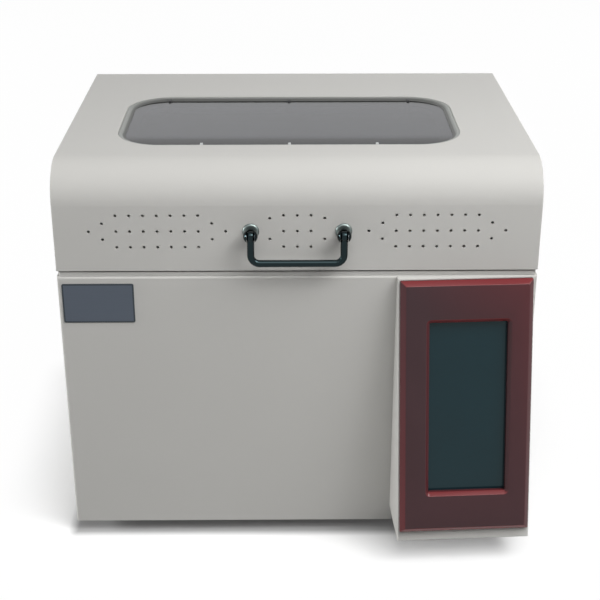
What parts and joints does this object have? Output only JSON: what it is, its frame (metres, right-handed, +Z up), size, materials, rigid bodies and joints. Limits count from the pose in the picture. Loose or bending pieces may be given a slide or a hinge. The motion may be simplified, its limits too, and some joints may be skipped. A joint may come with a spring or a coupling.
{
  "type": "bench-top reflow oven",
  "caption": "Bench-top reflow oven: grey sheet-metal cabinet, hinged lid with a glass window and drop handle, sloping control column with a touch screen in a dark red bezel.",
  "frame": {"origin": "on the table, in the middle of the outer box", "axes": "+X to the user's right, +Y to the back, +Z up"},
  "size_m": [0.52, 0.4972, 0.452],
  "materials": {
    "cabinet_paint": "grey fine-texture powder coat",
    "stainless": "brushed stainless sheet",
    "zinc_steel": "zinc-plated steel",
    "bezel_acrylic": "polished translucent dark red acrylic",
    "screen_glass": "dark coated touch glass",
    "window_glass": "clear toughened glass",
    "seal_rubber": "grey silicone rubber",
    "foot_rubber": "black rubber",
    "plate": "blue-grey anodised plate, bare",
    "dark_chrome": "polished black chrome",
    "bright_chrome": "satin chrome",
    "quartz": "milky quartz",
    "ceramic": "unglazed steatite ceramic",
    "mineral_wool": "mineral wool board",
    "black_plastic": "black moulded plastic",
    "guard_steel": "black-coated steel",
    "heatsink": "extruded aluminium",
    "circuit_board": "solder-masked circuit board"
  },
  "bodies": {
    "cabinet": {"base_tray": "cabinet_paint", "front_panel": "cabinet_paint", "rear_panel": "cabinet_paint", "side_panel_left": "cabinet_paint", "side_panel_right": "cabinet_paint", "top_deck": "cabinet_paint", "feet": "foot_rubber", "cabinet_screws": "zinc_steel", "nameplate": "plate", "control_column": "cabinet_paint", "bezel": "bezel_acrylic", "touch_glass": "screen_glass", "display_module": "black_plastic", "chamber_tub": "stainless", "chamber_insulation": "mineral_wool", "chamber_casing": "zinc_steel", "heater_tubes": "quartz", "heater_caps": "ceramic", "heater_reflector": "stainless", "rack_rails": "stainless", "board_rack": "stainless", "baffle_plate": "stainless", "baffle_stays": "stainless", "thermocouple": "stainless", "fan_motor": "zinc_steel", "motor_bracket": "zinc_steel", "exhaust_duct": "stainless", "exhaust_spigot": "stainless", "cooling_fan_frame": "black_plastic", "fan_guard": "guard_steel", "mains_inlet": "black_plastic", "switch_housing": "black_plastic", "power_supply": "zinc_steel", "relay_heatsink": "heatsink", "solid_state_relays": "black_plastic", "controller_board": "circuit_board", "terminal_block": "black_plastic", "hinge_base_leaves": "zinc_steel", "hinge_pins": "zinc_steel"},
    "lid": {"lid_shell": "cabinet_paint", "window_seal": "seal_rubber", "window_glass": "window_glass", "window_pads": "seal_rubber", "window_clamp": "zinc_steel", "lid_liner": "stainless", "liner_spacers": "stainless", "inner_glass": "window_glass", "lid_insulation": "mineral_wool", "lid_gasket": "seal_rubber", "lid_underplate": "stainless", "lid_fasteners": "zinc_steel", "handle_posts": "dark_chrome", "handle_rosettes": "bright_chrome", "handle_pins": "dark_chrome", "hinge_lid_leaves": "zinc_steel"},
    "handle": {"handle_bail": "dark_chrome"},
    "convection_rotor": {"convection_impeller": "stainless", "fan_shaft": "zinc_steel"},
    "cooling_rotor": {"cooling_fan_rotor": "black_plastic"},
    "power_rocker": {"switch_rocker": "black_plastic"}
  },
  "joints": [
    {"name": "lid_hinge", "type": "hinge", "parent": "cabinet", "child": "lid", "pos_m": [0, 0.22394, 0.334], "axis": [-1, 0, 0], "range_deg": [0, 80]},
    {"name": "handle_swing", "type": "hinge", "parent": "lid", "child": "handle", "pos_m": [0, -0.18436, 0.3803], "axis": [-1, 0, 0], "range_deg": [-15, 175]},
    {"name": "hot_air_fan", "type": "hinge", "parent": "cabinet", "child": "convection_rotor", "pos_m": [0, 0.11614, 0.273], "axis": [0, 1, 0], "continuous": true},
    {"name": "cooling_fan", "type": "hinge", "parent": "cabinet", "child": "cooling_rotor", "pos_m": [0.15, 0.19214, 0.085], "axis": [0, 1, 0], "continuous": true},
    {"name": "power_switch", "type": "hinge", "parent": "cabinet", "child": "power_rocker", "pos_m": [-0.132, 0.21864, 0.078], "axis": [-1, 0, 0], "range_deg": [0, 18]}
  ]
}
